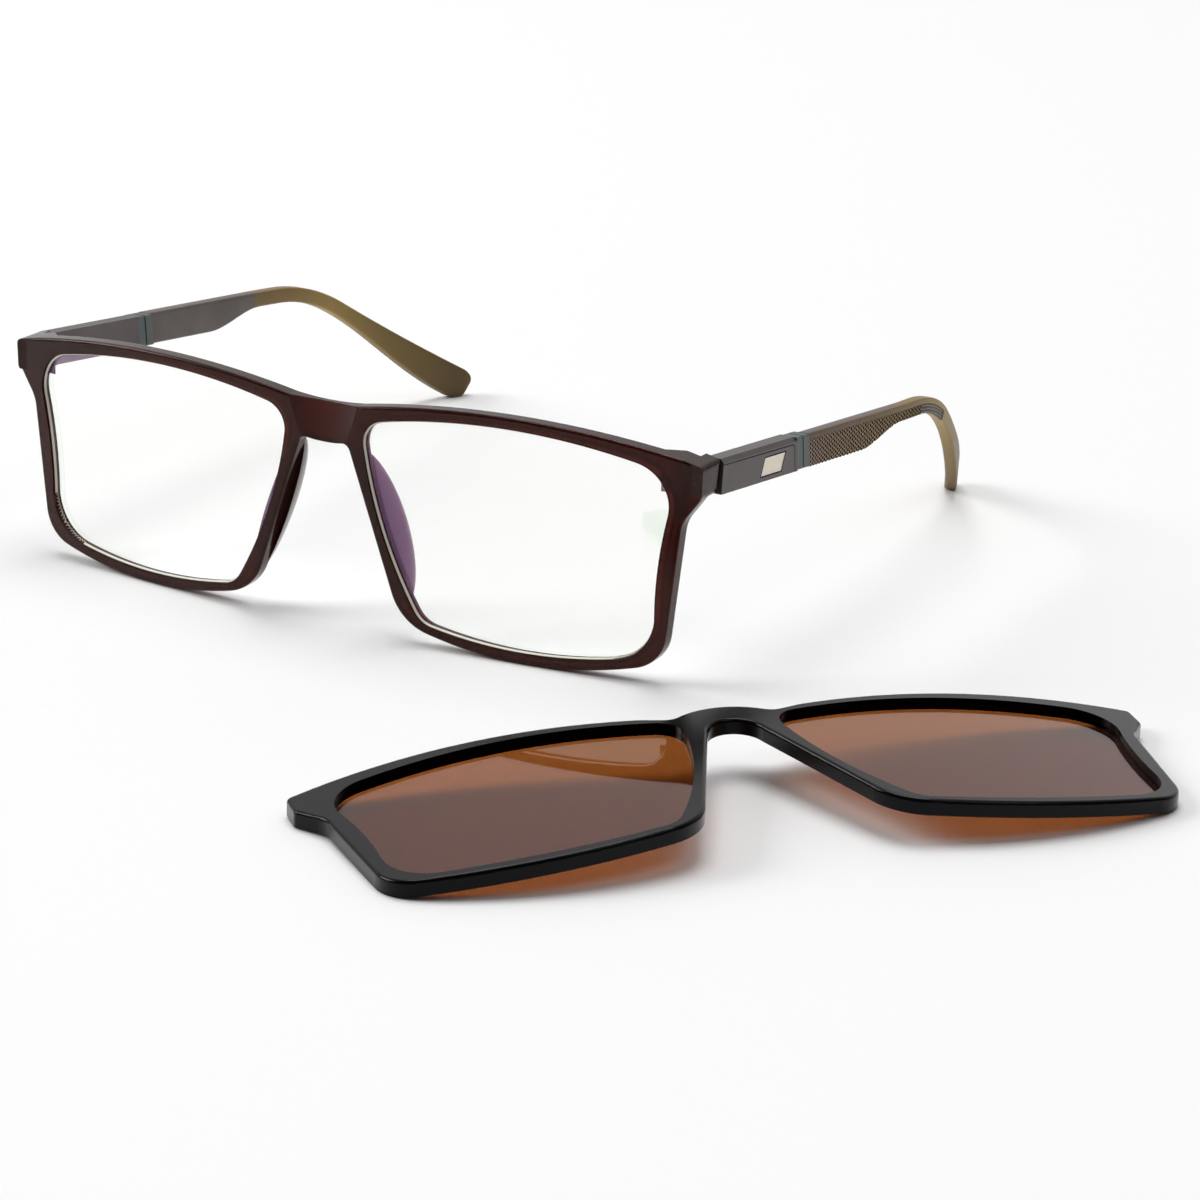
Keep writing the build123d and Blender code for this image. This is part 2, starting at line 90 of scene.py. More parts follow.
# ---- materials ------------------------------------------------------------------------------------
class ShaderTree:
    """One material's node tree, with short ways to add what the finishes use."""

    def __init__(self, name: str) -> None:
        """Starts a material with a Principled shader on its output.

        Args:
            name: the material's name.
        """
        self.material = bpy.data.materials.new(name)
        self.material.use_nodes = True
        self.nodes = self.material.node_tree.nodes
        self.links = self.material.node_tree.links
        self.nodes.clear()
        self.output = self.nodes.new("ShaderNodeOutputMaterial")
        self.shader = self.nodes.new("ShaderNodeBsdfPrincipled")
        self.links.new(self.shader.outputs["BSDF"], self.output.inputs["Surface"])
        self.place = self.nodes.new("ShaderNodeTexCoord").outputs["Object"]

    def set(self, **values: float | tuple) -> "ShaderTree":
        """Sets constants on the Principled shader.

        Args:
            values: socket names in lower case with underscores, and their values.

        Returns:
            This tree.
        """
        for name, value in values.items():
            socket = next(s for s in self.shader.inputs if s.name.lower().replace(" ", "_") == name)
            socket.default_value = (*value, 1.0) if socket.type == "RGBA" else value
        return self

    def feed(self, socket: str, source: bpy.types.NodeSocket) -> "ShaderTree":
        """Links a source to one of the Principled shader's sockets, and returns this tree."""
        self.links.new(source, self.shader.inputs[socket])
        return self

    def stretched(self, scale: tuple[float, float, float]) -> bpy.types.NodeSocket:
        """Object coordinates, multiplied along each axis.

        Args:
            scale: the factor along each axis. A small one draws a pattern out along it.

        Returns:
            The scaled coordinates.
        """
        node = self.nodes.new("ShaderNodeMapping")
        node.inputs["Scale"].default_value = scale
        self.links.new(self.place, node.inputs["Vector"])
        return node.outputs["Vector"]

    def noise(self, per_metre: float, detail: float = 3.0, place: bpy.types.NodeSocket | None = None,
              ) -> bpy.types.NodeSocket:
        """Fractal noise on Object coordinates.

        Args:
            per_metre: how many cells there are in a metre.
            detail: how many finer layers are added.
            place: other coordinates to use.

        Returns:
            The noise's value, about 0.5 on average.
        """
        node = self.nodes.new("ShaderNodeTexNoise")
        node.inputs["Scale"].default_value = per_metre
        node.inputs["Detail"].default_value = detail
        self.links.new(place or self.place, node.inputs["Vector"])
        return node.outputs["Fac"]

    def ramp(self, source: bpy.types.NodeSocket, stops: list[tuple[float, Colour]]) -> bpy.types.NodeSocket:
        """A colour ramp over a value.

        Args:
            source: the value, from 0 to 1.
            stops: (position, colour) pairs in rising order.

        Returns:
            The ramp's colour.
        """
        node = self.nodes.new("ShaderNodeValToRGB")
        elements = node.color_ramp.elements
        while len(elements) < len(stops):
            elements.new(0.5)
        for element, (position, colour) in zip(elements, stops):
            element.position = position
            element.color = (*colour, 1.0)
        self.links.new(source, node.inputs["Fac"])
        return node.outputs["Color"]

    def span(self, source: bpy.types.NodeSocket, low: float, high: float) -> bpy.types.NodeSocket:
        """A 0 to 1 value carried to the range from low to high.

        Args:
            source: the value.
            low: what 0 becomes.
            high: what 1 becomes.

        Returns:
            The carried value.
        """
        node = self.nodes.new("ShaderNodeMapRange")
        node.inputs["To Min"].default_value = low
        node.inputs["To Max"].default_value = high
        self.links.new(source, node.inputs["Value"])
        return node.outputs["Result"]

    def mixed(self, amount: bpy.types.NodeSocket, first: bpy.types.NodeSocket, second: bpy.types.NodeSocket,
              ) -> bpy.types.NodeSocket:
        """The blend of two colours.

        Args:
            amount: how much of the second colour there is, from 0 to 1.
            first: one colour.
            second: the other.

        Returns:
            The blended colour.
        """
        node = self.nodes.new("ShaderNodeMix")
        node.data_type = "RGBA"
        colours = [socket for socket in node.inputs if socket.type == "RGBA"]
        self.links.new(amount, node.inputs["Factor"])
        self.links.new(first, colours[0])
        self.links.new(second, colours[1])
        return next(socket for socket in node.outputs if socket.type == "RGBA")

    def attribute(self, name: str) -> bpy.types.NodeSocket:
        """A float attribute of the mesh.

        Args:
            name: the attribute's name.

        Returns:
            Its value.
        """
        node = self.nodes.new("ShaderNodeAttribute")
        node.attribute_name = name
        return node.outputs["Fac"]

    def bumped(self, source: bpy.types.NodeSocket, height: float, strength: float = 1.0) -> "ShaderTree":
        """Raises the surface by a value times a height.

        Args:
            source: the value, from 0 to 1.
            height: how far 1 rises, in metres.
            strength: how much of the rise is seen.

        Returns:
            This tree.
        """
        node = self.nodes.new("ShaderNodeBump")
        node.inputs["Distance"].default_value = height
        node.inputs["Strength"].default_value = strength
        self.links.new(source, node.inputs["Height"])
        return self.feed("Normal", node.outputs["Normal"])


@dataclass(frozen=True)
class TranslucentPlastic:
    """Satin injection-moulded plastic that is nearly opaque, and glows where it is thin."""

    name: str = "translucent brown plastic"
    skin: Colour = (0.13, 0.045, 0.028)
    clarity: float = 0.90
    tint: Colour = (0.68, 0.10, 0.03)
    shine: Colour = (0.62, 0.42, 0.38)
    density: float = 2100.0
    roughness: tuple[float, float] = (0.14, 0.22)
    ior: float = 1.45
    clouds_per_metre: float = 260.0
    pebbles_per_metre: float = 5200.0
    depth: float = 0.000012
    bump: float = 0.35

    def build(self) -> bpy.types.Material:
        """Joins a rough, partly clear skin to a body that absorbs all but red.

        Returns:
            The material.
        """
        tree = ShaderTree(self.name)
        tree.set(base_color=self.skin, transmission_weight=self.clarity, ior=self.ior,
                 specular_tint=self.shine)
        tree.feed("Roughness", tree.span(tree.noise(self.clouds_per_metre), *self.roughness))
        tree.bumped(tree.noise(self.pebbles_per_metre, 2.0), self.depth, self.bump)
        body = tree.nodes.new("ShaderNodeVolumeAbsorption")
        body.inputs["Color"].default_value = (*self.tint, 1.0)
        body.inputs["Density"].default_value = self.density
        tree.links.new(body.outputs["Volume"], tree.output.inputs["Volume"])
        return tree.material


@dataclass(frozen=True)
class LensGlass:
    """A lens: clear in sight, and to lamps a thin window of its own tint."""

    name: str
    tint: Colour
    shine: Colour
    lamp_tint: Colour
    ior: float = 1.6
    specular: float = 0.5

    def build(self) -> bpy.types.Material:
        """Makes a clear shader for sight, and a plain tinted window for shadow rays.

        Returns:
            The material.
        """
        tree = ShaderTree(self.name)
        tree.set(base_color=self.tint, transmission_weight=1.0, roughness=0.0, ior=self.ior,
                 specular_tint=self.shine, specular_ior_level=self.specular)
        window = tree.nodes.new("ShaderNodeBsdfTransparent")
        window.inputs["Color"].default_value = (*self.lamp_tint, 1.0)
        choice = tree.nodes.new("ShaderNodeMixShader")
        path = tree.nodes.new("ShaderNodeLightPath")
        tree.links.new(path.outputs["Is Shadow Ray"], choice.inputs["Fac"])
        tree.links.new(tree.shader.outputs["BSDF"], choice.inputs[1])
        tree.links.new(window.outputs["BSDF"], choice.inputs[2])
        tree.links.new(choice.outputs["Shader"], tree.output.inputs["Surface"])
        return tree.material


@dataclass(frozen=True)
class Metal:
    """Metal with a fine grain along one direction, plain or lacquered."""

    name: str
    dark: Colour
    light: Colour
    metallic: float = 1.0
    roughness: tuple[float, float] = (0.28, 0.4)
    grain: tuple[float, float, float] = (1.0, 0.06, 1.0)
    grain_per_metre: float = 6000.0
    depth: float = 0.000004
    clouds_per_metre: float = 90.0
    bump: float = 0.4

    def build(self) -> bpy.types.Material:
        """Makes a grain of noise that is drawn out along the temple's length.

        Returns:
            The material.
        """
        tree = ShaderTree(self.name)
        tree.set(metallic=self.metallic)
        lines = tree.noise(self.grain_per_metre, 4.0, tree.stretched(self.grain))
        clouds = tree.noise(self.clouds_per_metre)
        tree.feed("Base Color", tree.ramp(clouds, [(0.3, self.dark), (0.7, self.light)]))
        tree.feed("Roughness", tree.span(lines, *self.roughness))
        return tree.bumped(lines, self.depth, self.bump).material


@dataclass(frozen=True)
class Moulded:
    """Matte or satin moulded plastic or rubber with a fine pebbled skin and slight mottling."""

    name: str
    dark: Colour
    light: Colour
    roughness: tuple[float, float] = (0.4, 0.55)
    pebbles_per_metre: float = 4200.0
    depth: float = 0.00002
    specular: float = 0.5
    shine: Colour = (1.0, 1.0, 1.0)
    mottles_per_metre: float = 140.0
    sheen_per_metre: float = 700.0
    bump: float = 0.5

    def build(self) -> bpy.types.Material:
        """Mottles the colour, and raises pebbles as a bump.

        Returns:
            The material.
        """
        tree = ShaderTree(self.name)
        tree.set(specular_ior_level=self.specular, specular_tint=self.shine)
        mottles = tree.noise(self.mottles_per_metre)
        tree.feed("Base Color", tree.ramp(mottles, [(0.35, self.dark), (0.65, self.light)]))
        tree.feed("Roughness", tree.span(tree.noise(self.sheen_per_metre), *self.roughness))
        return tree.bumped(tree.noise(self.pebbles_per_metre, 2.0), self.depth, self.bump).material


@dataclass(frozen=True)
class LengthwiseMoulded:
    """Finish whose colour runs by the mesh attribute `along`, and turns to a near-black colour of painted
    shade where `painted_shade` is 1.
    """

    name: str
    stops: tuple[tuple[float, Colour], ...]
    # Near-black colour of painted shade.
    painted_shade_colour: Colour = (0.004, 0.003, 0.002)
    roughness: tuple[float, float] = (0.36, 0.5)
    depth: float = 0.00002
    specular: float = 0.3
    sheen_per_metre: float = 600.0
    pebbles_per_metre: float = 3600.0
    bump: float = 0.4

    def build(self) -> bpy.types.Material:
        """Makes a colour ramp over `along`, mixed with the painted shade colour by `painted_shade`.

        Returns:
            The material.
        """
        tree = ShaderTree(self.name)
        tree.set(specular_ior_level=self.specular)
        shade = tree.ramp(tree.attribute("along"), list(self.stops))
        painted_shade_colour = tree.nodes.new("ShaderNodeRGB")
        painted_shade_colour.outputs[0].default_value = (*self.painted_shade_colour, 1.0)
        tree.feed("Base Color", tree.mixed(tree.attribute("painted_shade"), shade, painted_shade_colour.outputs[0]))
        tree.feed("Roughness", tree.span(tree.noise(self.sheen_per_metre), *self.roughness))
        return tree.bumped(tree.noise(self.pebbles_per_metre, 2.0), self.depth, self.bump).material


FRONT_PLASTIC = TranslucentPlastic()
CLEAR_LENS = LensGlass("clear lens", (0.99, 1.0, 0.985), (0.92, 0.50, 1.0), (0.98, 0.98, 0.98), 1.82)
SUN_LENS = LensGlass("brown sun lens", (0.28, 0.085, 0.018), (1.0, 1.0, 1.0), (0.21, 0.088, 0.037), 1.52, 0.1)
CLIP_PLASTIC = Moulded("clip-on plastic", (0.0015, 0.0013, 0.0014), (0.003, 0.0027, 0.003), (0.13, 0.20),
                       3800.0, 0.000006, shine=(0.2, 0.2, 0.22))
GUNMETAL = Metal("gunmetal block", (0.088, 0.072, 0.072), (0.112, 0.094, 0.093), 0.75, (0.32, 0.42))
CHAMPAGNE = Metal("champagne plate", (0.60, 0.53, 0.43), (0.74, 0.67, 0.56), 1.0, (0.30, 0.42))
BARE_STEEL = Metal("machined steel", (0.34, 0.33, 0.32), (0.52, 0.51, 0.50), 1.0, (0.22, 0.38))
DARK_STEEL = Metal("blackened steel", (0.05, 0.045, 0.04), (0.09, 0.08, 0.075), 1.0, (0.3, 0.45))
NICKEL = Metal("nickel plate", (0.50, 0.49, 0.47), (0.66, 0.65, 0.62), 1.0, (0.16, 0.26), (1.0, 1.0, 1.0))
BAND_RUBBER = Moulded("grey-green rubber", (0.085, 0.105, 0.102), (0.115, 0.140, 0.136), (0.45, 0.6))
SHELL_PLASTIC = Moulded("dark brown plastic", (0.080, 0.058, 0.052), (0.108, 0.080, 0.072), (0.34, 0.46))
# The sleeve's colour is lightest about the ear bend and darker towards the bands and the tip.
SLEEVE_RUBBER = LengthwiseMoulded(
    "olive rubber",
    ((0.0, (0.105, 0.062, 0.036)), (0.25, (0.15, 0.090, 0.034)), (0.42, (0.23, 0.145, 0.040)),
     (0.53, (0.34, 0.225, 0.060)), (0.66, (0.21, 0.135, 0.038)), (0.80, (0.13, 0.080, 0.026))),
)
# Near-black painted shadow, laid as thin pieces in the gap round the plate and along the block's bevel edge.
SHADOW_GAP = Moulded("painted gap shadow", (0.003, 0.003, 0.003), (0.005, 0.004, 0.004), (0.5, 0.6), specular=0.1)
# Pale band of painted highlight where the lens's bevel catches light, with near-black painted shade lines at
# its two sides.
LENS_BEVEL_LIGHT_AND_SHADE = LengthwiseMoulded("painted lens bevel highlight and shade", ((0.0, (0.80, 0.76, 0.64)), (1.0, (0.80, 0.76, 0.64))))
NET_PLASTIC = LengthwiseMoulded(
    "net plastic",
    ((0.0, (0.50, 0.36, 0.26)), (0.22, (0.46, 0.31, 0.17)), (0.39, (0.34, 0.23, 0.08)),
     (0.42, (0.155, 0.105, 0.042)), (0.6, (0.15, 0.10, 0.038))),
)


# ---- meshes ---------------------------------------------------------------------------------------
def new_piece(name: str, points: np.ndarray, faces: list, smooth_angle: float = 40.0) -> bpy.types.Object:
    """Puts computed points and faces into a new object.

    Args:
        name: the piece's name.
        points: an (n, 3) array in metres.
        faces: lists of point numbers.
        smooth_angle: edges that turn by less than this many degrees are shaded smooth.

    Returns:
        The object, at the origin, with its doubles merged and its faces pointing outwards.
    """
    mesh = bpy.data.meshes.new(name)
    mesh.from_pydata(np.asarray(points, float).tolist(), [], faces)
    work = bmesh.new()
    work.from_mesh(mesh)
    bmesh.ops.remove_doubles(work, verts=work.verts, dist=MERGE)
    bmesh.ops.recalc_face_normals(work, faces=work.faces)
    work.to_mesh(mesh)
    work.free()
    mesh.validate()
    mesh.shade_smooth()
    mesh.set_sharp_from_angle(angle=radians(smooth_angle))
    piece = bpy.data.objects.new(name, mesh)
    bpy.context.scene.collection.objects.link(piece)
    return piece


def grid_faces(rings: int, around: int, capped: bool = True) -> list:
    """Quads between rings of points that close on themselves, with a cap at each end.

    Args:
        rings: how many rings there are.
        around: how many points each has.
        capped: whether the first and last ring are filled.

    Returns:
        Lists of point numbers.
    """
    first = (np.arange(rings - 1)[:, None] * around + np.arange(around)).ravel()
    turn = (np.arange(rings - 1)[:, None] * around + (np.arange(around) + 1) % around).ravel()
    faces = np.stack([first, turn, turn + around, first + around], 1).tolist()
    if capped:
        faces.append(list(range(around))[::-1])
        faces.append(list(range((rings - 1) * around, rings * around)))
    return faces


def rounded_loops(corners: np.ndarray, radii: np.ndarray, steps: int = 4) -> np.ndarray:
    """Rounds every corner of every section at once.

    Each corner C becomes a quadratic curve from C moved its radius towards the corner before, by way of C,
    to C moved its radius towards the next.

    Args:
        corners: a (sections, corners, 2) array.
        radii: a (sections, corners) array.
        steps: how many spans each rounded corner has.

    Returns:
        A (sections, corners * (steps + 1), 2) array.
    """
    before = np.roll(corners, 1, axis=1) - corners
    after = np.roll(corners, -1, axis=1) - corners
    reach = radii[..., None]
    start = corners + before / np.maximum(np.linalg.norm(before, axis=2, keepdims=True), TINY) * reach
    end = corners + after / np.maximum(np.linalg.norm(after, axis=2, keepdims=True), TINY) * reach
    t = np.linspace(0.0, 1.0, steps + 1)[:, None]
    start, middle, end = start[:, :, None], corners[:, :, None], end[:, :, None]
    loops = (1 - t) ** 2 * start + 2 * t * (1 - t) * middle + t ** 2 * end
    return loops.reshape(len(corners), -1, 2)


def smooth_step(low: float, high: float, value: np.ndarray) -> np.ndarray:
    """0 below low, 1 above high, and between them 3t² − 2t³."""
    t = np.clip((value - low) / (high - low), 0.0, 1.0)
    return t * t * (3 - 2 * t)


def dress(piece: bpy.types.Object, material: bpy.types.Material, body: str, slot: str, *nodes: str,
          ) -> bpy.types.Object:
    """Gives a new piece its finish and its place in the object.

    Args:
        piece: the piece.
        material: its finish.
        body: the CAD body that it rides on.
        slot: its finish slot; not used.
        nodes: the CAD nodes that it stands for, if any.

    Returns:
        The piece.
    """
    piece.data.materials.clear()
    piece.data.materials.append(material)
    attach(piece, body)
    if nodes:
        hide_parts(*nodes)
    LOG.info("piece %s on %s, %d faces", piece.name, body, len(piece.data.polygons))
    return piece


def paint(node: str, material: bpy.types.Material) -> None:
    """Gives a CAD node its finish.

    Args:
        node: the node's name.
        material: its finish.
    """
    slots = frame["nodes"][node].data.materials
    slots.clear()
    slots.append(material)
    LOG.info("node %s is %s", node, material.name)


def mesh_points(mesh: bpy.types.Mesh) -> np.ndarray:
    """A mesh's points.

    Args:
        mesh: the mesh.

    Returns:
        An (n, 3) array in metres.
    """
    flat = np.zeros(len(mesh.vertices) * 3)
    mesh.vertices.foreach_get("co", flat)
    return flat.reshape(-1, 3)


def node_points(node: str) -> np.ndarray:
    """A CAD node's mesh points as an (n, 3) array in metres."""
    return mesh_points(frame["nodes"][node].data)


def mark_points(piece: bpy.types.Object, along: np.ndarray, painted_shade: np.ndarray) -> None:
    """Stores the two values that LengthwiseMoulded reads at each point of a piece.

    Args:
        piece: the piece.
        along: how far along the colour ramp each point is, from 0 to 1.
        painted_shade: how much painted shade darkens each point, from 0 to 1.
    """
    for name, values in (("along", along), ("painted_shade", painted_shade)):
        attribute = piece.data.attributes.new(name, "FLOAT", "POINT")
        attribute.data.foreach_set("value", np.asarray(values, np.float32))


def outline_of(points: np.ndarray) -> np.ndarray:
    """The points that lie furthest out in each direction from their middle, in order round it.

    Args:
        points: an (n, 2) array.

    Returns:
        An (m, 2) array without repeats, turning anticlockwise.
    """
    points = np.unique(np.round(points, 7), axis=0)
    middle = (points.min(0) + points.max(0)) / 2
    around = np.arctan2(points[:, 1] - middle[1], points[:, 0] - middle[0])
    return points[np.argsort(around)]


def inset_loop(loop: np.ndarray, distance: float, sharpest: float = 0.2) -> np.ndarray:
    """A closed anticlockwise loop moved inwards along the mitre of its two edges at each point.

    Args:
        loop: an (n, 2) array.
        distance: how far its edges move in, or out if it is negative.
        sharpest: the least share that the mitre's length is divided by, which keeps sharp corners short.

    Returns:
        An (n, 2) array.
    """
    edge = np.roll(loop, -1, axis=0) - loop
    edge /= np.linalg.norm(edge, axis=1, keepdims=True)
    inward = np.stack([-edge[:, 1], edge[:, 0]], 1)
    mitre = inward + np.roll(inward, 1, axis=0)
    mitre /= np.maximum((mitre * inward).sum(1, keepdims=True), sharpest)
    return loop + mitre * distance


# ---- front ----------------------------------------------------------------------------------------
@dataclass
class Front:
    """The one-piece front with its lenses, magnets and hinge plates. Lengths are millimetres."""

    plastic: TranslucentPlastic = FRONT_PLASTIC
    glass: LensGlass = CLEAR_LENS
    groove: float = 0.66
    edge_start: float = -0.76
    edge_end: float = -0.01
    edge_width: float = 0.32
    edge_foot: float = 0.03
    edge_line: float = 0.16
    edge_fade: float = 0.04

    def lens_edge(self, side: Side, material: bpy.types.Material) -> None:
        """A painted highlight on the lens's bevel: a pale band round the rim's groove, with a line of painted
        shade at each side.

        The lens's outline is moved in by the groove's depth, and the band stands on it, sloping from the
        rim's wall down to the lens's front face: both its depth and how far it stands off the wall are
        straight-line functions of the share of the way across it.

        Args:
            side: which lens.
            material: the band's finish.
        """
        points = node_points(side.node("lens")) / MM
        loop = outline_of(points[:, [0, 2]])
        away = np.linalg.norm(points[:, None, [0, 2]] - loop[None], axis=2)
        face = np.where(away < TOUCH, points[:, [1]], np.inf).min(0)
        line, pale = self.edge_line, self.edge_line + self.edge_fade
        # Shares across the band, each marked 1 for a line of painted shade at the sides or 0 for the pale
        # painted highlight between them.
        share = np.array([0.0, line, pale, 1 - pale, 1 - line, 1.0])
        shade_lines = np.array([1.0, 1.0, 0.0, 0.0, 1.0, 1.0])
        there_and_back = np.concatenate([share, share[::-1]])
        depth = self.edge_start + (self.edge_end - self.edge_start) * there_and_back
        stands = np.concatenate([self.edge_foot + (self.edge_width - self.edge_foot) * share, 0 * share])
        rings = np.concatenate([np.arange(len(loop)), [0]])
        wall = inset_loop(loop, self.groove)[rings]
        inward = inset_loop(loop, self.groove + 1.0)[rings] - wall
        flat = wall[:, None] + inward[:, None] * stands[None, :, None]
        y = face[rings][:, None] + depth[None]
        grid = np.stack([flat[..., 0], y, flat[..., 1]], -1).reshape(-1, 3)
        faces = grid_faces(len(rings), len(there_and_back), capped=False)
        piece = new_piece(side.node("lens_edge"), grid * MM, faces, smooth_angle=50.0)
        place = mesh_points(piece.data) / MM
        nearest = np.linalg.norm(grid[None] - place[:, None], axis=2).argmin(1)
        painted_shade = np.tile(np.concatenate([shade_lines, shade_lines[::-1]]), len(rings))[nearest]
        mark_points(piece, np.zeros(len(place)), painted_shade)
        dress(piece, material, "front", "clear_lens")

    def build(self) -> None:
        """Dresses the front's nodes and adds the painted highlight and shade bands on the lenses' bevels."""
        paint("front_frame", self.plastic.build())
        glass, steel, nickel = self.glass.build(), DARK_STEEL.build(), NICKEL.build()
        bevel_light_and_shade = LENS_BEVEL_LIGHT_AND_SHADE.build()
        for side in Side:
            self.lens_edge(side, bevel_light_and_shade)
            paint(side.node("lens"), glass)
            paint(side.node("front_magnet"), nickel)
            paint(side.node("hinge_anchor"), steel)


# ---- hinge ----------------------------------------------------------------------------------------
@dataclass
class Hinge:
    """The sprung hinge's small steel pieces."""

    side: Side

    def build(self, steel: bpy.types.Material, bright: bpy.types.Material) -> None:
        """Dresses the hinge's nodes.

        Args:
            steel: the finish of the carriage and the pin.
            bright: the finish of the screw and the spring.
        """
        paint(self.side.node("hinge_carriage"), steel)
        paint(self.side.node("hinge_screw"), bright)
        paint(self.side.node("guide_pin"), steel)
        paint(self.side.node("flex_spring"), bright)


# ---- temple ---------------------------------------------------------------------------------------
@dataclass
class TempleFinishes:
    """The materials that both temples and their hinges share."""

    steel: bpy.types.Material = field(default_factory=BARE_STEEL.build)
    bright: bpy.types.Material = field(default_factory=NICKEL.build)
    block: bpy.types.Material = field(default_factory=GUNMETAL.build)
    plate: bpy.types.Material = field(default_factory=CHAMPAGNE.build)
    band: bpy.types.Material = field(default_factory=BAND_RUBBER.build)
    # Near-black painted shadow for the gap round the plate and the bevel's edge.
    gap: bpy.types.Material = field(default_factory=SHADOW_GAP.build)
    sleeve: bpy.types.Material = field(default_factory=SLEEVE_RUBBER.build)
    shell: bpy.types.Material = field(default_factory=SHELL_PLASTIC.build)
    net: bpy.types.Material = field(default_factory=NET_PLASTIC.build)


@dataclass
class TempleShape:
    """The temple's shape in its own coordinates: u along its top line, w down from that line, and a in
    from its outer face, all in millimetres."""

    top: float = 3.0
    outer: float = 4.5
    thickness: float = 2.4
    slant: float = 0.2
    start: float = 31.0
    block_front: float = 0.3
    block_height: float = 6.0
    taper_end: float = 52.0
    taper_height: float = 6.076
    ear_start: float = 75.0
    ear_radius: float = 40.0
    ear_turn: float = radians(27.3)
    waist_start: float = 68.0
    waist: float = 2.95
    plan_start: float = 66.0
    plan_radius: float = 134.0
    tip_radius: float = 3.1

    def __post_init__(self) -> None:
        """Works out the straight end's length from the hinge's height, so that the tip meets the floor."""
        joints = {joint["name"]: joint for joint in frame["joints"]}
        left, right = joints["fold_left"], joints["fold_right"]
        self.hinges = {Side.LEFT: np.array(left["pos_m"]), Side.RIGHT: np.array(right["pos_m"])}
        self.slope = atan2(left["axis"][1], left["axis"][2])
        y = self.ear_start + (self.ear_radius - self.tip_radius) * sin(self.ear_turn)
        z = self.top - self.ear_radius + (self.ear_radius - self.tip_radius) * cos(self.ear_turn)
        height = self.hinges[Side.LEFT][2] / MM - sin(self.slope) * y + cos(self.slope) * z
        self.straight = (height - self.tip_radius) / sin(self.ear_turn + self.slope)
        self.arc_end = self.ear_start + self.ear_radius * self.ear_turn
        self.tip_centre = self.arc_end + self.straight

    def height(self, u: np.ndarray) -> np.ndarray:
        """How deep the temple is: a straight taper, a smooth step to the waist, and one to the tip.

        Args:
            u: millimetres along the top line.

        Returns:
            The depths, in millimetres.
        """
        share = (np.minimum(u, self.taper_end) - self.block_front) / (self.taper_end - self.block_front)
        front = self.block_height + share * (self.taper_height - self.block_height)
        waist = front + (self.waist - front) * smooth_step(self.taper_end, self.waist_start, u)
        return waist + (2 * self.tip_radius - waist) * smooth_step(self.arc_end, self.tip_centre, u)

    def face(self, y: np.ndarray) -> np.ndarray:
        """How far the outer face lies outside the hinge: level, and then bending in on an arc.

        Args:
            y: millimetres back from the hinge, level with the temple.

        Returns:
            The distances, in millimetres.
        """
        past = np.maximum(y - self.plan_start, 0.0)
        return self.outer - self.plan_radius + np.sqrt(self.plan_radius ** 2 - past ** 2)

    def place(self, side: Side, u: np.ndarray, w: np.ndarray, a: np.ndarray) -> np.ndarray:
        """Carries (u, w, a) to points of the shared frame in metres.

        The top line is straight to the ear, turns down on an arc there and is straight again; w is laid
        off square to it. In plan the outer face bends in on an arc, and a is laid off square to that.

        Args:
            side: which temple.
            u: millimetres along the top line.
            w: millimetres down from it.
            a: millimetres in from the outer face.

        Returns:
            An (..., 3) array.
        """
        u, w, a = np.broadcast_arrays(u, w, a)
        angle = np.clip((u - self.ear_start) / self.ear_radius, 0.0, self.ear_turn)
        lead = np.minimum(u - self.ear_start, 0.0) + np.maximum(u - self.arc_end, 0.0)
        y = self.ear_start + (self.ear_radius - w) * np.sin(angle) + lead * np.cos(angle)
        z = self.top - self.ear_radius + (self.ear_radius - w) * np.cos(angle) - lead * np.sin(angle)
        past = np.maximum(y - self.plan_start, 0.0)
        x = self.outer - self.plan_radius + np.sqrt((self.plan_radius - a) ** 2 - past ** 2)
        out = x if side is Side.LEFT else -x
        back = y * cos(self.slope) + z * sin(self.slope)
        up = z * cos(self.slope) - y * sin(self.slope)
        return np.stack([out, back, up], -1) * MM + self.hinges[side]

    def sheared(self, u: np.ndarray, w: np.ndarray, reach: float = 6.0) -> np.ndarray:
        """u moved back by the front end's slant, which fades out over `reach` millimetres."""
        return u + self.slant * w * (1 - smooth_step(self.start, self.start + reach, u))


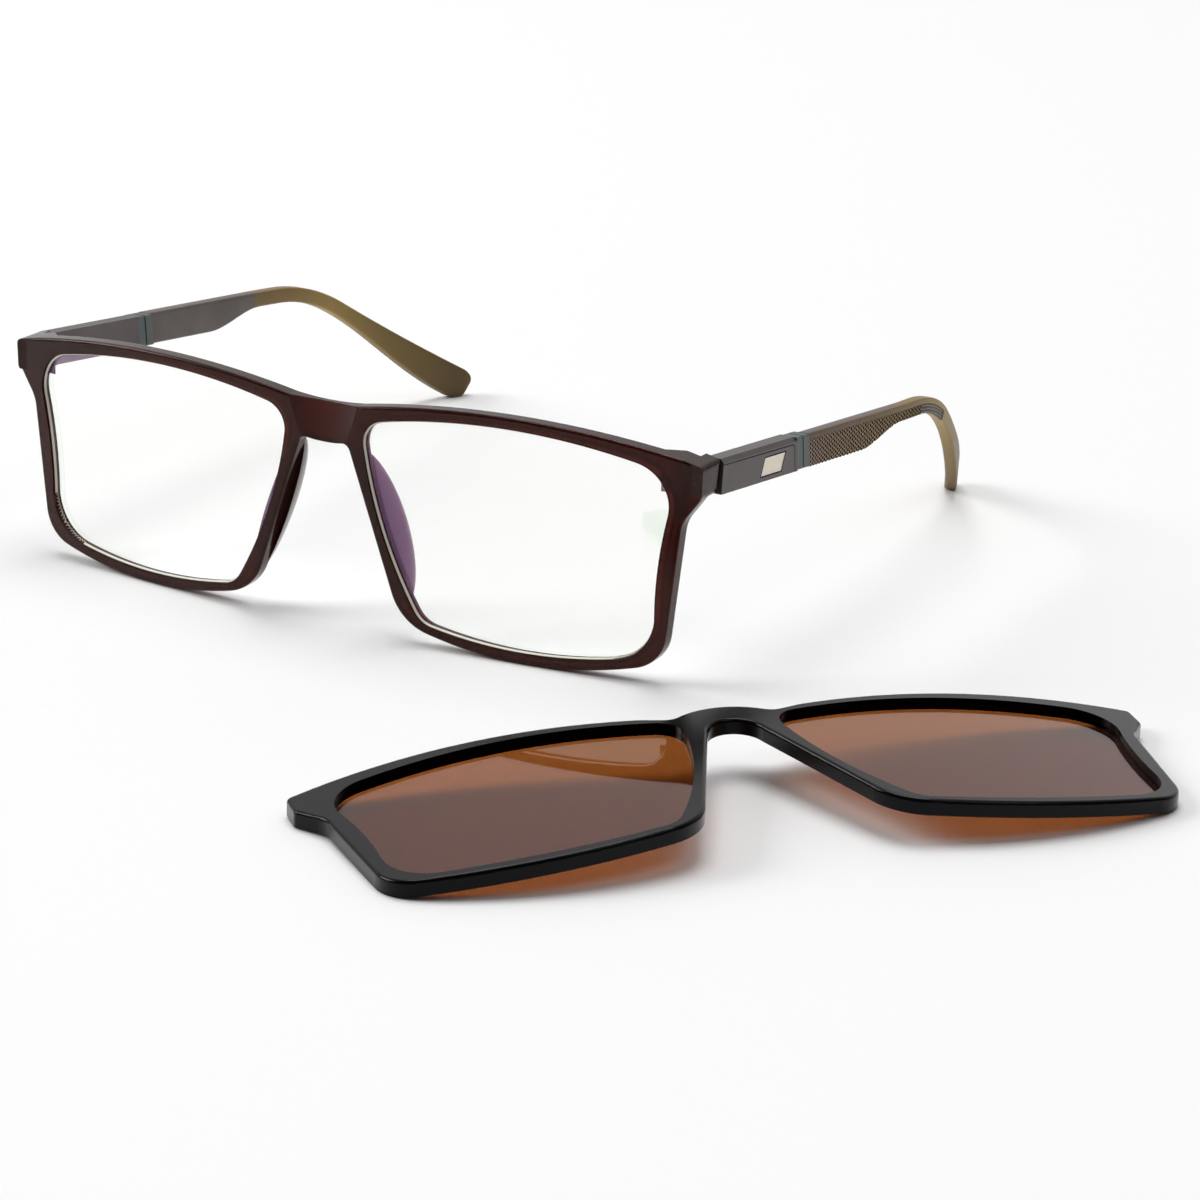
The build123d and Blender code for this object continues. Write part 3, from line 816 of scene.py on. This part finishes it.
@dataclass
class BlockTrim:
    """The temple block's fine lines: the plate's bright edge, a ring of painted shadow in the gap round it,
    and a line of painted shade along the bevel's edge.

    They lie in the upright outer face. Offsets are (y, z) in millimetres from the face's corners, and
    levels are how far a piece's front and back lie outside the face.
    """

    side: Side
    shape: TempleShape
    edge_width: float = 0.2
    edge_levels: tuple[float, float] = (0.03, -0.05)
    line_levels: tuple[float, float] = (0.006, -0.03)
    gap_insets: tuple[float, float] = (-0.26, -0.02)
    shade_line_width: float = 0.19
    shade_line_round: float = 0.9
    shade_line_front: tuple[float, float] = (0.1, -0.2)
    shade_line_turn: tuple[float, float] = (-0.9, -0.2)
    shade_line_foot: tuple[float, float] = (-0.9, 0.15)
    sharp: float = 0.01
    end_reach: float = 2.0

    def outer_face(self, stem: str) -> tuple[np.ndarray, float]:
        """The points of a node that lie on its outermost upright face.

        Args:
            stem: the node's name without its side.

        Returns:
            Their (y, z) in millimetres, and how far the face lies outside the hinge.
        """
        points = node_points(self.side.node(stem)) / MM
        away = np.abs(points[:, 0] - self.shape.hinges[self.side][0] / MM)
        return points[away > away.max() - TOUCH][:, 1:], away.max()

    def on_face(self, stem: str, loops: np.ndarray, face: float, levels: tuple[float, float],
                ) -> bpy.types.Object:
        """A flat piece let into an upright face.

        Args:
            stem: the piece's name without its side.
            loops: a (2, n, 2) array of (y, z) in millimetres. Two different loops make a flat ring between
                them, and the same loop twice makes a filled plate.
            face: how far the face lies outside the hinge, in millimetres.
            levels: how far the piece's front and its back lie outside the face, in millimetres.

        Returns:
            The piece.
        """
        out = 1.0 if self.side is Side.LEFT else -1.0
        around = loops.shape[1]
        front, back = face + levels[0], face + levels[1]
        ring = not np.allclose(loops[0], loops[1])
        flat = np.concatenate([loops, loops[::-1]]) if ring else loops
        level = np.repeat((front, front, back, back) if ring else (front, back), around)
        x = self.shape.hinges[self.side][0] / MM + out * level
        points = np.column_stack([x, flat.reshape(-1, 2)]) * MM
        faces = grid_faces(len(flat), around, capped=not ring)
        if ring:
            last, first = 3 * around + np.arange(around), np.arange(around)
            faces += np.stack([last, np.roll(last, -1), np.roll(first, -1), first], 1).tolist()
        return new_piece(self.side.node(stem), points, faces, smooth_angle=30.0)

    def shade_line_loop(self, flat: np.ndarray) -> np.ndarray:
        """The painted shade line's outline: a strip along the face's top, on the bevel's edge, that turns
        down on a round at its rear end.

        Args:
            flat: the (y, z) points of the block's outer face.

        Returns:
            A (1, n, 2) array.
        """
        front = flat[flat[:, 0] < flat[:, 0].min() + self.end_reach]
        rear = flat[flat[:, 0] > flat[:, 0].max() - self.end_reach]
        start, turn, foot = front[front[:, 1].argmax()], rear[rear[:, 1].argmax()], rear[rear[:, 1].argmin()]
        path = np.array([start + self.shade_line_front, turn + self.shade_line_turn, foot + self.shade_line_foot])
        wide, sharp, bend = self.shade_line_width, self.sharp, self.shade_line_round
        inner = [path[2] + [-wide, 0], path[1] + [-wide, -wide], path[0] + [0, -wide]]
        radii = np.array([[sharp, bend, sharp, sharp, bend - wide, sharp]])
        return rounded_loops(np.stack([*path, *inner])[None], radii, 6)

    def build(self, gap: bpy.types.Material, bright: bpy.types.Material) -> None:
        """Builds and dresses the lines.

        Args:
            gap: the near-black painted shadow finish of the gap and of the bevel's shade line.
            bright: the finish of the plate's edge.
        """
        plate, plate_face = self.outer_face("inlay_plate")
        block, block_face = self.outer_face("temple_block")
        loop = outline_of(plate)
        rim = np.stack([loop, inset_loop(loop, self.edge_width)])
        edge = self.on_face("plate_edge", rim, plate_face, self.edge_levels)
        dress(edge, bright, self.side.body, "inlay_metal")
        # Near-black pieces of painted shadow: a ring in the gap round the plate, and a line along the bevel's
        # edge.
        lines = {
            "plate_gap": np.stack([inset_loop(loop, inset) for inset in self.gap_insets]),
            "bevel_seam": np.repeat(self.shade_line_loop(block), 2, axis=0),
        }
        for stem, loops in lines.items():
            line = self.on_face(stem, loops, block_face, self.line_levels)
            dress(line, gap, self.side.body, "block_metal")


@dataclass
class Temple:
    """One temple: its metal block, plate, rubber bands, net panel, inner shell and rubber sleeve.

    Lengths are millimetres. Stations are how many sections a stretch has.
    """

    side: Side
    shape: TempleShape
    colour_length: float = 110.0
    gap: float = 0.02
    edge: float = 0.55
    sharp: float = 0.01
    skin: float = 0.6
    lip: float = 1.1
    lip_edge: float = 0.28
    lip_corner: float = 0.15
    lip_stations: int = 24
    angle_stations: int = 14
    rear_edge: float = 0.3
    rear_stations: int = 36
    tip_edge: float = 0.75
    top_run: float = 15.0
    low_run: float = 10.0
    cap_stations: int = 12
    cap_share: float = 0.97
    cap_power: int = 6
    cap_floor: float = 0.05
    cap_least: float = 0.04
    shell_end: float = 66.0
    shell_edges: tuple[float, float] = (0.02, 0.05)
    shell_stations: int = 28
    net_end: float = 92.0
    face_depth: float = 0.03
    margin: float = 0.12
    hem: float = 0.036
    cell: float = 0.8
    spill: float = 0.45
    hole_share: float = 0.84
    hole_taper: float = 0.95
    hole_lip: float = 0.1
    hole_depth: float = 0.32
    holes_end: float = 77.0
    shade_from: float = 0.05
    shade_run: float = 0.06
    backing_gap: float = 0.04
    backing_stations: int = 30
    ridges: int = 3
    ridge_depth: float = 0.14
    ridge_stations: int = 16
    ridge_points: int = 49

    def loft(self, stem: str, u: np.ndarray, corners: np.ndarray, radii: np.ndarray) -> bpy.types.Object:
        """A closed skin over sections of rounded corners.

        Args:
            stem: the piece's name without its side.
            u: the sections' stations.
            corners: a (sections, corners, 2) array of (a, w).
            radii: a (sections, corners) array.

        Returns:
            The piece.
        """
        loops = rounded_loops(corners, radii)
        around = loops.shape[1]
        a, w = loops[..., 0], loops[..., 1]
        stations = self.shape.sheared(np.repeat(u[:, None], around, 1), w)
        points = self.shape.place(self.side, stations, w, a).reshape(-1, 3)
        return new_piece(self.side.node(stem), points, grid_faces(len(u), around), smooth_angle=50.0)

    def along(self, points: np.ndarray) -> np.ndarray:
        """The share of the coloured length that points in metres lie behind the bands, from 0 to 1."""
        back = (points[:, 1] - self.shape.hinges[self.side][1]) / MM - self.shape.start
        return np.clip(back / self.colour_length, 0, 1)

    def sleeve(self, material: bpy.types.Material) -> None:
        """The rubber sleeve: a lip over the net, then an angle round its end, then the whole round tip.

        Each section has six corners in (a, w). On the lip they bound the strip above the net, on the
        angle they take in the inner layer too, and behind it they are the whole section. Corners that a
        stretch doesn't need lie on its straight sides. The tip's height closes as a cosine, and its
        thickness as the root of one less a power of the sine.

        Args:
            material: the sleeve's finish.
        """
        shape, skin, thick = self.shape, self.skin, self.shape.thickness
        turn = np.linspace(0, self.cap_share * pi / 2, self.cap_stations)[1:]
        u = np.concatenate([
            np.linspace(shape.start, self.shell_end, self.lip_stations),
            np.linspace(self.shell_end, self.net_end, self.angle_stations),
            np.linspace(self.net_end, shape.tip_centre, self.rear_stations),
            shape.tip_centre + shape.tip_radius * np.sin(turn),
        ])
        counts = [self.lip_stations, self.angle_stations, self.rear_stations + len(turn)]
        stage = np.repeat([0, 1, 2], counts)
        lip, angle, whole = stage == 0, stage == 1, stage == 2
        h, zero = shape.height(u), np.zeros(len(u))
        columns = [
            (zero, zero),
            (zero, np.where(whole, h * 0.5, self.lip)),
            (np.where(whole, 0.0, skin), np.where(whole, h * 0.75, self.lip)),
            (np.where(whole, 0.0, skin), np.where(lip, self.lip * 0.6, h)),
            (np.where(lip, skin, thick), np.where(lip, self.lip * 0.3, h)),
            (np.where(lip, skin, thick), zero),
        ]
        corners = np.stack([np.stack(column, -1) for column in columns], 1)
        radii = np.full((len(u), len(columns)), self.sharp)
        top_grows = smooth_step(self.net_end, self.net_end + self.top_run, u)
        low_grows = smooth_step(self.net_end, self.net_end + self.low_run, u[whole])
        radii[:, 0] = self.lip_edge + (self.tip_edge - self.lip_edge) * top_grows
        radii[lip | angle, 1] = self.lip_corner
        radii[whole, 3] = self.rear_edge + (self.tip_edge - self.rear_edge) * low_grows
        radii[angle | whole, 4:] = self.edge
        cap = slice(len(u) - len(turn), None)
        narrow = np.cos(turn)
        root = np.sqrt(np.maximum(1 - np.sin(turn) ** self.cap_power, self.cap_floor))
        thin = root * (1 - self.cap_least) + self.cap_least
        middle = np.array([thick / 2, shape.tip_radius])
        corners[cap] = middle + (corners[cap] - middle) * np.stack([thin, narrow], -1)[:, None]
        radii[cap] *= np.minimum(narrow, thin)[:, None]
        piece = self.loft("sleeve", u, corners, radii)
        points = mesh_points(piece.data)
        mark_points(piece, self.along(points), np.zeros(len(points)))
        dress(piece, material, self.side.body, "sleeve_rubber", self.side.node("rubber_sleeve"))

    def shell(self, material: bpy.types.Material) -> None:
        """The brown inner shell: a rounded rectangle carried from the bands to the sleeve's inner layer.

        Args:
            material: the shell's finish.
        """
        u = np.linspace(self.shape.start, self.shell_end - self.gap, self.shell_stations)
        h, zero = self.shape.height(u), np.zeros(len(u))
        outer, inner = np.full_like(u, self.skin + self.gap), np.full_like(u, self.shape.thickness)
        columns = ((outer, zero), (outer, h), (inner, h), (inner, zero))
        corners = np.stack([np.stack(column, -1) for column in columns], 1)
        radii = np.tile([*self.shell_edges, self.edge, self.edge], (len(u), 1))
        piece = self.loft("inner_shell", u, corners, radii)
        dress(piece, material, self.side.body, "shell_plastic", self.side.node("temple_shell"))

    def net(self, material: bpy.types.Material) -> None:
        """The outer panel's net: a lattice of hexagonal cells, each with a smaller hexagon let into it.

        The lattice's rows are a cell apart and every other column is moved by half a cell. Points past
        the panel's edge are held on the edge.

        Args:
            material: the panel's finish.
        """
        shape, sides, top = self.shape, 6, self.lip + self.gap
        column, row = self.cell * 3 ** 0.5 / 2, self.cell
        across, down = np.meshgrid(
            np.arange(shape.start - column, self.holes_end, column),
            np.arange(top - row, shape.block_height + row, row),
            indexing="ij",
        )
        down = down + (np.arange(across.shape[0]) % 2)[:, None] * row / 2
        centres = np.stack([across.ravel(), down.ravel()], 1)
        low = shape.height(centres[:, 0]) - self.margin
        spill = row * self.spill
        centres = centres[(centres[:, 1] > top - spill) & (centres[:, 1] < low + spill)]
        corner = np.arange(sides) * pi / 3
        hexagon = np.stack([np.cos(corner), np.sin(corner)], 1) * self.cell / 3 ** 0.5
        rings = [(1.0, 0.0), (self.hole_share, 0.0), (self.hole_share * self.hole_taper, self.hole_lip),
                 (0.0, self.hole_depth)]
        layers = []
        for share, depth in rings:
            spot = centres[:, None] + hexagon[None] * share
            layers.append(np.concatenate([spot, np.full((*spot.shape[:2], 1), depth)], 2))
        cells = np.stack(layers, 1)
        cells[..., 0] = np.clip(cells[..., 0], shape.start, self.holes_end)
        cells[..., 1] = np.clip(cells[..., 1], top, shape.height(cells[..., 0]) - self.hem)
        this, following = np.arange(sides), (np.arange(sides) + 1) % sides
        band = np.stack([this, following, following + sides, this + sides], 1)
        pattern = np.concatenate([band + step * sides for step in range(len(rings) - 1)])
        first = np.arange(len(centres)) * sides * len(rings)
        faces = (first[:, None, None] + pattern[None]).reshape(-1, 4)
        u, w, depth = cells.reshape(-1, 3).T
        points = shape.place(self.side, shape.sheared(u, w), w, depth + self.face_depth)
        piece = new_piece(self.side.node("net_cells"), points, faces.tolist(), smooth_angle=30.0)
        self.colour_net(piece)
        dress(piece, material, self.side.body, "net_plastic")

    def colour_net(self, piece: bpy.types.Object) -> None:
        """Marks how far along the temple the net's points lie, and paints shade on those under the outer
        face, reaching near black a little below it.

        Args:
            piece: the net's cells or the panel under them.
        """
        points, slope = mesh_points(piece.data), self.shape.slope
        local = (points - self.shape.hinges[self.side]) / MM
        level = local[:, 1] * cos(slope) - local[:, 2] * sin(slope)
        depth = self.shape.face(level) - np.abs(local[:, 0])
        # Points under the outer face, in the cells' holes and the panel under them, get painted shade.
        mark_points(piece, self.along(points), np.clip((depth - self.shade_from) / self.shade_run, 0, 1))

    def backing(self, material: bpy.types.Material) -> None:
        """The solid panel under the net, whose face rises to ridges behind the last cell.

        The ridges' depth is a cosine across the panel.

        Args:
            material: the panel's finish.
        """
        shape, top = self.shape, self.lip + self.gap
        u = np.concatenate([
            np.linspace(shape.start, self.holes_end, self.backing_stations),
            np.linspace(self.holes_end, self.net_end - self.gap, self.ridge_stations),
        ])
        h = shape.height(u) - self.gap
        share = np.linspace(0, 1, self.ridge_points)
        w = top + (h[:, None] - top) * share[None]
        ridged = (np.arange(len(u)) >= self.backing_stations)[:, None]
        ripple = self.ridge_depth * (1 + np.cos(2 * pi * self.ridges * share))[None] / 2
        face = np.where(ridged, self.face_depth + ripple, self.hole_depth + self.backing_gap)
        a = np.concatenate([face, np.full((len(u), 2), self.skin)], 1)
        w = np.concatenate([w, w[:, [-1]], w[:, [0]]], 1)
        stations = shape.sheared(np.repeat(u[:, None], w.shape[1], 1), w)
        points = shape.place(self.side, stations, w, a).reshape(-1, 3)
        faces = grid_faces(len(u), w.shape[1])
        piece = new_piece(self.side.node("net_panel_back"), points, faces, smooth_angle=30.0)
        self.colour_net(piece)
        dress(piece, material, self.side.body, "net_plastic", self.side.node("net_panel"))

    def build(self, finishes: TempleFinishes) -> None:
        """Builds and dresses every piece of the temple.

        Args:
            finishes: the temples' materials.
        """
        BlockTrim(self.side, self.shape).build(finishes.gap, finishes.bright)
        paint(self.side.node("temple_block"), finishes.block)
        paint(self.side.node("inlay_plate"), finishes.plate)
        paint(self.side.node("front_band"), finishes.band)
        paint(self.side.node("rear_band"), finishes.band)
        paint(self.side.node("core_strip"), finishes.steel)
        self.sleeve(finishes.sleeve)
        self.shell(finishes.shell)
        self.net(finishes.net)
        self.backing(finishes.net)


# ---- clip-on --------------------------------------------------------------------------------------
@dataclass
class ClipOn:
    """The magnetic clip-on: its frame, sun lenses and magnets."""

    plastic: Moulded = CLIP_PLASTIC
    glass: LensGlass = SUN_LENS

    def build(self) -> None:
        """Dresses the clip-on's nodes."""
        paint("clip_frame", self.plastic.build())
        glass, nickel = self.glass.build(), NICKEL.build()
        for side in Side:
            paint(side.node("clip_lens"), glass)
            paint(side.node("clip_magnet"), nickel)


# ---- studio ---------------------------------------------------------------------------------------
@dataclass(frozen=True)
class SoftLamp:
    """A square soft lamp. Its place and size are in metres, and its power in watts."""

    name: str
    place: tuple[float, float, float]
    size: float
    power: float

    def hang(self, aim: Vector) -> None:
        """Hangs the lamp.

        Args:
            aim: where it looks.
        """
        data = bpy.data.lights.new(self.name, "AREA")
        data.size = self.size
        data.energy = self.power
        lamp = bpy.data.objects.new(self.name, data)
        lamp.location = self.place
        lamp.rotation_euler = (aim - Vector(self.place)).to_track_quat("-Z", "Y").to_euler()
        bpy.context.scene.collection.objects.link(lamp)


@dataclass
class Studio:
    """A pale floor, a bright dome, soft lamps and the camera.

    Lengths are metres, and the camera's focal length and sensor are millimetres.
    """

    azimuth: float = radians(30.12)
    elevation: float = radians(19.32)
    roll: float = radians(0.99)
    distance: float = 0.66816
    focal: float = 120.3
    sensor: float = 36.0
    nearest: float = 0.01
    furthest: float = 100.0
    target: tuple[float, float, float] = (0.01173, -0.02142, 0.01548)
    floor_size: float = 14.0
    floor_drop: float = 0.00002
    floor_dark: Colour = (0.93, 0.93, 0.93)
    floor_light: Colour = (0.95, 0.95, 0.95)
    bright_side: tuple[float, float, float] = (-0.45, 0.8, 0.35)
    bright_from: float = 0.0
    bright_to: float = 0.95
    bright: float = 0.95
    dim: float = 0.07
    aim: tuple[float, float, float] = (0.0, 0.0, 0.01)
    lamps: tuple[SoftLamp, ...] = (
        SoftLamp("key", (-2.6, -1.2, 1.7), 1.5, 53.0),
        SoftLamp("top", (-0.5, 0.6, 3.2), 1.9, 54.0),
        SoftLamp("fill", (1.9, -0.2, 2.6), 1.4, 9.0),
    )

    def floor(self) -> None:
        """The floor: a square of pale card, with a slight grain."""
        tree = ShaderTree("pale card")
        grain = tree.noise(900.0, 4.0)
        tree.feed("Base Color", tree.ramp(grain, [(0.0, self.floor_dark), (1.0, self.floor_light)]))
        tree.set(roughness=0.8, specular_ior_level=0.2)
        half = self.floor_size / 2
        points = np.array([(-half, -half, 0), (half, -half, 0), (half, half, 0), (-half, half, 0)], float)
        points[:, 2] = CAD_BOX[0][2] - self.floor_drop
        piece = new_piece("floor", points, [[0, 1, 2, 3]])
        piece.data.materials.append(tree.material)

    def dome(self) -> None:
        """The world: bright behind the set and to its left, dim in front."""
        world = bpy.data.worlds.new("studio")
        bpy.context.scene.world = world
        world.use_nodes = True
        nodes, links = world.node_tree.nodes, world.node_tree.links
        nodes.clear()
        place = nodes.new("ShaderNodeTexCoord").outputs["Generated"]
        facing = nodes.new("ShaderNodeVectorMath")
        facing.operation = "DOT_PRODUCT"
        facing.inputs[1].default_value = Vector(self.bright_side).normalized()
        ramp = nodes.new("ShaderNodeMapRange")
        ramp.interpolation_type = "SMOOTHSTEP"
        ramp.inputs["From Min"].default_value = self.bright_from
        ramp.inputs["From Max"].default_value = self.bright_to
        ramp.inputs["To Min"].default_value = self.dim
        ramp.inputs["To Max"].default_value = self.bright
        sky = nodes.new("ShaderNodeBackground")
        output = nodes.new("ShaderNodeOutputWorld")
        links.new(place, facing.inputs[0])
        links.new(facing.outputs["Value"], ramp.inputs["Value"])
        links.new(ramp.outputs["Result"], sky.inputs["Strength"])
        links.new(sky.outputs["Background"], output.inputs["Surface"])

    def camera(self) -> None:
        """The camera: a long lens that looks down on the set from its right."""
        a, e, r = self.azimuth, self.elevation, self.roll
        back = Vector((sin(a) * cos(e), -cos(a) * cos(e), sin(e)))
        right = Vector((cos(a), sin(a), 0.0))
        up = back.cross(right)
        rolled = cos(r) * right + sin(r) * up
        upright = cos(r) * up - sin(r) * right
        turn = Matrix((rolled, upright, back)).transposed().to_4x4()
        data = bpy.data.cameras.new("camera")
        data.lens = self.focal
        data.sensor_width = self.sensor
        data.clip_start = self.nearest
        data.clip_end = self.furthest
        camera = bpy.data.objects.new("camera", data)
        camera.matrix_world = Matrix.Translation(Vector(self.target) + back * self.distance) @ turn
        bpy.context.scene.collection.objects.link(camera)
        bpy.context.scene.camera = camera

    def build(self) -> None:
        """Sets the stage."""
        self.floor()
        self.dome()
        for lamp in self.lamps:
            lamp.hang(Vector(self.aim))
        self.camera()
        bpy.context.scene.view_settings.view_transform = "Standard"


def main() -> None:
    """Builds every sub-assembly in order, then the stage."""
    logging.basicConfig(level=logging.INFO, format="%(name)s: %(message)s")
    Front().build()
    finishes = TempleFinishes()
    shape = TempleShape()
    for side in Side:
        Hinge(side).build(finishes.steel, finishes.bright)
        Temple(side, shape).build(finishes)
    ClipOn().build()
    Studio().build()


if __name__ == "__main__":
    main()
